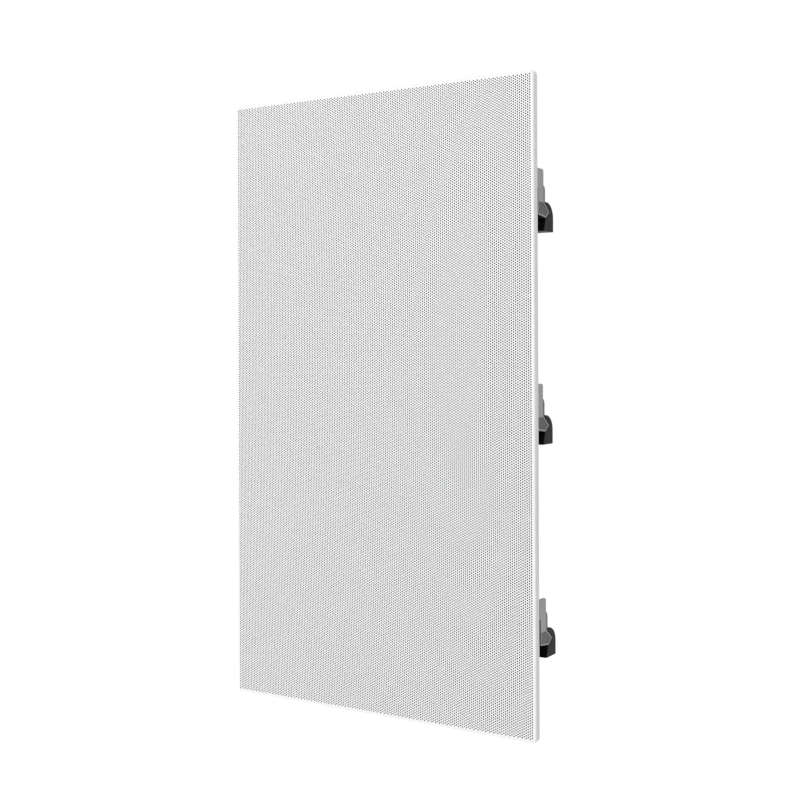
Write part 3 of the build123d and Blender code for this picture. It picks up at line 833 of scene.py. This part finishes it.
def make_grille_edge():
    """The border, fold and rim as loops of the outline, each with its own inset and depth."""
    turn = np.linspace(0, np.pi / 2, fold_points)
    fold_inset, fold_depth = fold_radius * (1 - np.sin(turn)), fold_radius * (1 - np.cos(turn))
    inside = (fold_radius - sheet) / fold_radius
    insets = np.concatenate([fold_inset, [0, sheet], sheet + inside * fold_inset[::-1]])
    depths = np.concatenate([fold_depth, [grille_back - grille_front] * 2, sheet + inside * fold_depth[::-1]])
    loops = [rounded_rectangle(grille_half - inset, corner_radius - inset) for inset in insets]
    inner = np.clip(loops[0], -face_half, face_half)
    loops = np.stack([inner, *loops, inner])
    depths = grille_front + np.concatenate([[0], depths, [sheet]])
    points = np.stack([loops[..., 0], np.broadcast_to(depths[:, None], loops.shape[:2]), loops[..., 1]], -1)
    faces = grid_faces(points.shape[0], points.shape[1], wrap_columns=True)
    piece = build_mesh("grille_edge", points.reshape(-1, 3), faces)
    return stand_for(set_shading(close_up(piece)), "grille_panel")


make_grille_edge()

# %% [markdown]
# Behind the holes a thin black cloth keeps dust and looks out. It is glued to the sheet all over, so it
# takes the sheet's crown and needs no simulation: it is a grid on the same formula, a little further back,
# thickened by a Solidify modifier.

# %% Scrim cloth
scrim_low, scrim_high = node_box("grille_scrim")
scrim_sheet = 0.3
scrim_columns = 21
scrim_rows = 37


def make_scrim():
    """A grid in x and z at the crown's depth, behind the sheet, thickened to the back."""
    x = np.linspace(scrim_low[0], scrim_high[0], scrim_columns)
    z = np.linspace(scrim_low[2], scrim_high[2], scrim_rows)
    across, upward = np.meshgrid(x, z)
    depth = crown_depth(across, upward) + scrim_low[1] - grille_low[1]
    points = np.stack([across, depth, upward], -1).reshape(-1, 3)
    piece = build_mesh("grille_scrim_finished", points, grid_faces(scrim_rows, scrim_columns))
    set_shading(piece)
    thickness = piece.modifiers.new("cloth_thickness", "SOLIDIFY")
    thickness.thickness = scrim_sheet * MM
    return stand_for(piece, "grille_scrim")


make_scrim()

# %% [markdown]
# ## Frame and clamps
# The frame is a deep moulding, and the clamps are die castings with moulded feet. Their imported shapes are
# true, so they only lose their sharp edges.

# %% Softened frame and clamp pieces
clamps = [f"{row}_{side}_clamp" for row in ("upper", "middle", "lower") for side in ("left", "right")]
softened("baffle_frame", width=0.5)
for clamp in clamps:
    softened(clamp + "_carrier", width=0.22)
    softened(clamp + "_foot", width=0.6, segments=2)
    softened(clamp + "_bush", width=0.25)

# %% [markdown]
# The clamp screws are machine screws with a cross recess. Their thread is a helix: the grid's rows run
# round the shank and climb by one pitch a turn, so each row meets the row one pitch further on where the
# turn closes.

# %% Screw heads and threads
thread_pitch = 0.7
thread_depth = 0.4
rows_per_turn = 2
thread_segments = 10
head_segments = 24
arm_angle = 15.0
tip_chamfer = 0.4

# A head's outline as shares of its radius and height, and its recess: reach and level, at top and floor.
head_shape = [(0.0, 0.0), (0.9, 0.0), (1.0, 0.1), (1.0, 0.45), (0.93, 0.75), (0.76, 0.94), (0.62, 1.0)]
recess_shape = [(0.56, 1.0), (0.4, 0.35)]
recess_point = 0.2


def cross_outline(reach, angle):
    """Radius of a cross with arms of half width reach tan a: the further side of two crossed rectangles."""
    half_width = reach * math.tan(math.radians(arm_angle))
    never_zero = 1e-9
    c, s = np.abs(np.cos(angle)) + never_zero, np.abs(np.sin(angle)) + never_zero
    return np.maximum(np.minimum(reach / c, half_width / s), np.minimum(half_width / c, reach / s))


def head_mesh(radius, height):
    """A pan head standing on y = 0 and rising towards -Y, with a tapered cross recess: points and faces."""
    angle = 2 * np.pi * np.arange(head_segments) / head_segments
    ones = np.ones(head_segments)
    rings = [(radius * r * ones, height * h) for r, h in head_shape]
    rings += [(cross_outline(radius * r, angle), height * h) for r, h in recess_shape]
    rings.append((0 * ones, recess_point * height))
    spread = np.stack([ring for ring, _ in rings])
    level = np.broadcast_to(np.array([-h for _, h in rings])[:, None], spread.shape)
    points = np.stack([spread * np.cos(angle), level, spread * np.sin(angle)], -1)
    return points.reshape(-1, 3), grid_faces(len(rings), head_segments, wrap_columns=True)


def thread_mesh(radius, start, end):
    """A threaded shank between two depths: y climbs a pitch a turn, and r runs crest, flank, root, flank."""
    turns = int((end - start) / thread_pitch) + 2
    row = np.arange(turns * rows_per_turn + 1)[:, None]
    share = np.arange(thread_segments)[None, :] / thread_segments
    y = np.clip(start + thread_pitch * (row / rows_per_turn - 1 + share), start, end)
    r = radius - thread_depth * np.abs((row / rows_per_turn * 2) % 2 - 1) + 0 * y
    angle = 2 * np.pi * share
    points = np.stack([r * np.cos(angle), y, r * np.sin(angle)], -1).reshape(-1, 3)
    i, j = np.meshgrid(np.arange(len(row) - 1 - rows_per_turn), np.arange(thread_segments), indexing="ij")
    last = j == thread_segments - 1
    side, climb = (j + 1) % thread_segments, np.where(last, rows_per_turn, 0)
    n = thread_segments
    faces = np.stack([i * n + j, (i + climb) * n + side, (i + climb + 1) * n + side, (i + 1) * n + j], -1)
    return points, faces.reshape(-1, 4)


def joined(*meshes):
    """Points and faces of several meshes put together."""
    counts = np.cumsum([0] + [len(points) for points, _ in meshes])[:-1]
    faces = np.concatenate([faces + count for count, (_, faces) in zip(counts, meshes)])
    return np.concatenate([points for points, _ in meshes]), faces


def copied(mesh, places):
    """One mesh repeated at several places."""
    return joined(*[(mesh[0] + np.array(place), mesh[1]) for place in places])


def rod_mesh(radius, start, end, segments=16):
    """A plain shank with a short chamfer at its end."""
    tip = [(radius, end - tip_chamfer), (radius - tip_chamfer, end), (0, end)]
    profile = [(0, start), (radius, start), *tip]
    return turned_mesh(profile, (0, 0), segments)


# %% [markdown]
# Each clamp hangs on one long screw, turned from the front once the grille is off. Its head, neck, core and
# thread lie along one axis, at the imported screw's depths.

# %% Clamp screws
clamp_head_radius = 3.8
clamp_head = 2.4
clamp_shank = 2.0
thread_start = 4.0
thread_runout = 0.3
neck_overlap = 0.4


def make_clamp_screw(node):
    """A clamp's screw along its packed axis: head, core, neck and thread."""
    low, high = node_box(node)
    axis = (low + high) / 2
    seat = low[1] + clamp_head
    core = rod_mesh(clamp_shank - thread_depth, seat, high[1])
    thread = thread_mesh(clamp_shank, thread_start, high[1] - thread_runout)
    neck = rod_mesh(clamp_shank, seat, thread_start + neck_overlap)
    head = head_mesh(clamp_head_radius, clamp_head)
    points, faces = joined((head[0] + [0, seat, 0], head[1]), core, neck, thread)
    return finished(node, points + [axis[0], 0, axis[2]], faces, sharp_angle=50)


for clamp in clamps:
    make_clamp_screw(clamp + "_screw")

# %% [markdown]
# ## Woofers
# Each woofer is a pressed basket with a paper cone, hung at its edge from a rubber roll and at its neck
# from a corrugated cloth spider.

# %% Softened woofer pieces
places = ("upper", "lower")
for place in places:
    softened(place + "_woofer_basket", width=0.4)
    softened(place + "_woofer_ferrite_magnet", width=1.0, segments=2)
    softened(place + "_woofer_yoke", width=0.7, segments=2)

# %% [markdown]
# The roll and the spider are thin rings, with a lip on either side where they are glued. Each is turned
# from its section, and each point gets a weight from its radius: 0 at the basket and 1 at the cone. When
# the cone moves, the points follow by their weight, and the ring stretches without a tear.

# %% Roll and spider
roll_height = 4.0
roll_sheet = 0.8
lip = 2.5
spider_sheet = 0.8
spider_wave = 1.6
spider_waves = 4
roll_points = 19
points_per_wave = 8
roll_segments = 64
spider_segments = 40
lip_overlap = 0.1
spider_gap = 0.2


def offset_profile(line, thickness):
    """A closed profile from a line of radius and depth, with its other side a thickness further back."""
    return np.concatenate([line, (line + [0, thickness])[::-1]])


def roll_line(inner, outer, top):
    """Front of the roll: a flat lip, half an ellipse y = top - h sin t, and a flat lip."""
    t = np.linspace(0, np.pi, roll_points)
    middle, half = (inner + outer) / 2, (outer - inner) / 2 - lip
    arch = np.stack([middle - half * np.cos(t), top - roll_height * np.sin(t)], -1)
    return np.concatenate([[(inner, top)], arch, [(outer, top)]])


def spider_line(inner, outer, top):
    """Front of the spider: waves y = top - w (1 - cos) / 2 between the coil and a flat lip on its seat."""
    t = np.linspace(0, 1, points_per_wave * spider_waves + 1)
    waved = inner + (outer - lip - inner) * t
    height = spider_wave * (1 - np.cos(2 * np.pi * spider_waves * t)) / 2
    return np.concatenate([np.stack([waved, top - height], -1), [(outer, top)]])


def stretch(piece, place, centre, inner, outer):
    """The piece follows the cone at its inner edge and the frame at its outer edge, smoothly between them.
    """
    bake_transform(piece, "frame", place + "_cone", start=(0, 0, 0), end=(0, 0, 1))
    mesh = piece.data
    where = np.empty(3 * len(mesh.vertices), np.float32)
    mesh.vertices.foreach_get("co", where)
    from_axis = where.reshape(-1, 3)[:, [0, 2]] / MM - centre
    share = np.clip((outer - np.hypot(*from_axis.T)) / (outer - inner), 0, 1)
    mesh.attributes["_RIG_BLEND"].data.foreach_set("value", (share**2 * (3 - 2 * share)).astype(np.float32))


def make_suspension(place, part, inner, line, thickness, segments):
    """A ring of a given front line and thickness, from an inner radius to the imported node's outer one."""
    node = f"{place}_woofer_{part}"
    low, high = node_box(node)
    centre = ((low + high) / 2)[[0, 2]]
    outer = (high[0] - low[0]) / 2
    front = line(inner, outer, high[1] - thickness)
    ring = turned_mesh(offset_profile(front, thickness), centre, segments, closed=True)
    piece = finished(node, *ring, sharp_angle=35, rides=False)
    stretch(piece, place, centre, inner + lip, outer - lip)


roll_inner = node_box("upper_woofer_cone")[1][0] - lip_overlap
spider_inner = node_box("upper_woofer_voice_coil")[1][0] + spider_gap
print("roll from", roll_inner, "spider from", spider_inner)
for place in places:
    make_suspension(place, "surround", roll_inner, roll_line, roll_sheet, roll_segments)
    make_suspension(place, "spider", spider_inner, spider_line, spider_sheet, spider_segments)

# %% [markdown]
# ## Tweeter, crossover and terminals
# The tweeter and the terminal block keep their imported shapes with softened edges. The crossover's parts get
# what makes them known at a glance: wound wire, film wrapped into cans, and cement resistors.

# %% Softened small pieces
levers = ("left_terminal_lever", "right_terminal_lever")
for node in ("tweeter_faceplate", "crossover_board", "terminal_block", *levers):
    softened(node, width=0.35)
softened("crossover_resistors", width=0.6, segments=3)

# %% [markdown]
# Four screws hold each driver, and four more hold the board to its standoffs. All are one screw, repeated
# at every seat, and the seats follow from the size of what the screws hold.

# %% Driver and board screws
driver_head_radius = 3.0
driver_head = 2.0
driver_shank = 1.6
driver_length = 9.0
shank_overlap = 0.5
basket_screw_inset = 4.5
tweeter_screw_inset = 3.5
board_screw_inset = 6.0


def round_seats(node, inset):
    """Four seats on the front of a round driver, on a circle inside its edge: R (cos t, sin t), t from 45."""
    low, high = node_box(node)
    angle = np.radians(45 + 90 * np.arange(4))
    circle = high[0] - inset
    height = (low[2] + high[2]) / 2 + circle * np.sin(angle)
    return np.stack([circle * np.cos(angle), np.full(4, low[1]), height], -1)


def corner_seats(node, inset):
    """Four seats on the back of a rectangular board, inside its corners."""
    high = node_box(node)[1]
    signs = np.array([(1, 1, 1), (-1, 1, 1), (-1, 1, -1), (1, 1, -1)])
    return signs * (high - [inset, 0, inset])


def make_screw_group(node, seats, towards):
    """Screws with cross heads at their seats, in place of a packed group; their heads face -Y or +Y."""
    shank = rod_mesh(driver_shank, -shank_overlap, driver_length)
    points, faces = joined(head_mesh(driver_head_radius, driver_head), shank)
    print(node, len(seats))
    return finished(node, *copied((points * [1, -towards, 1], faces), seats), sharp_angle=40)


driver_seats = [round_seats(place + "_woofer_basket", basket_screw_inset) for place in places]
driver_seats.append(round_seats("tweeter_faceplate", tweeter_screw_inset))
make_screw_group("driver_screws", np.concatenate(driver_seats), -1)
make_screw_group("crossover_board_screws", corner_seats("crossover_board", board_screw_inset), 1)

# %% [markdown]
# An air coil is enamelled wire in even layers. Every turn as a tube of its own would cost far more than it
# shows, so the winding is one ring whose section has a scallop for every wire.

# %% Wound coils
coil_bore = 5.0
coil_segments = 28
wire = 1.35
wire_dip = 0.35
points_per_wire = 3


def winding_profile(inner, outer, front, back):
    """A wound block in section: a rectangle with sides scalloped by d (1 - |sin|), one scallop a wire."""
    corners = np.array([(inner, front), (outer, front), (outer, back), (inner, back)])
    dip = wire_dip * wire
    sides = []
    for start, end in zip(corners, np.roll(corners, -1, 0)):
        length = np.linalg.norm(end - start)
        wires = max(1, round(length / wire))
        t = np.linspace(0, 1, points_per_wire * wires, endpoint=False)
        along = (end - start) / length
        inward = np.array([-along[1], along[0]])
        sink = dip * (1 - np.abs(np.sin(np.pi * wires * t)))
        sides.append(start + (end - start) * t[:, None] + inward * sink[:, None])
    return np.concatenate(sides)


def make_crossover_coils():
    """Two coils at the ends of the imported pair's box."""
    low, high = node_box("crossover_coils")
    radius = (high[2] - low[2]) / 2
    row = (high[2] + low[2]) / 2
    profile = winding_profile(coil_bore, radius, low[1], high[1])
    spots = [(x, row) for x in (low[0] + radius, high[0] - radius)]
    coils = [turned_mesh(profile, spot, coil_segments, closed=True) for spot in spots]
    return finished("crossover_coils", *joined(*coils), sharp_angle=60)


make_crossover_coils()


# %% [markdown]
# A film capacitor is rolled up like tape, wrapped in yellow film and sealed at its ends, where the wrapping
# is left standing as a low edge. A short profile turned about the can's own axis has both.

# %% Capacitors
can_segments = 40
seal_depth = 0.7
edge_inner, edge_crest = 1.3, 0.8
edge_fall = 0.6


def make_capacitors():
    """Two wrapped cans lying along X: a turned profile with pinched ends, its axis swapped from Y to X."""
    low, high = node_box("crossover_capacitors")
    half = (high[0] - low[0]) / 2
    radius = (high[1] - low[1]) / 2
    seal = [(0, half - seal_depth), (radius - edge_inner, half - seal_depth)]
    end = seal + [(radius - edge_crest, half), (radius, half - edge_fall)]
    profile = np.array(end + [(r, -y) for r, y in end[::-1]])
    points, faces = turned_mesh(profile, (0, 0), can_segments)
    depth = (low[1] + high[1]) / 2
    spots = [(0, depth, row) for row in (low[2] + radius, high[2] - radius)]
    can = points[:, [1, 0, 2]], faces
    return finished("crossover_capacitors", *copied(can, spots), sharp_angle=40)


make_capacitors()

# %% [markdown]
# ## Finishes for what stays
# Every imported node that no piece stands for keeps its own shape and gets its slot's finish.

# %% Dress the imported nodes
kept = [node for node, piece in frame["nodes"].items() if not piece.hide_render]
for node in kept:
    packed = frame["nodes"][node]
    packed.data.materials.clear()
    packed.data.materials.append(finish[slot_of[node]])
print("kept", kept)
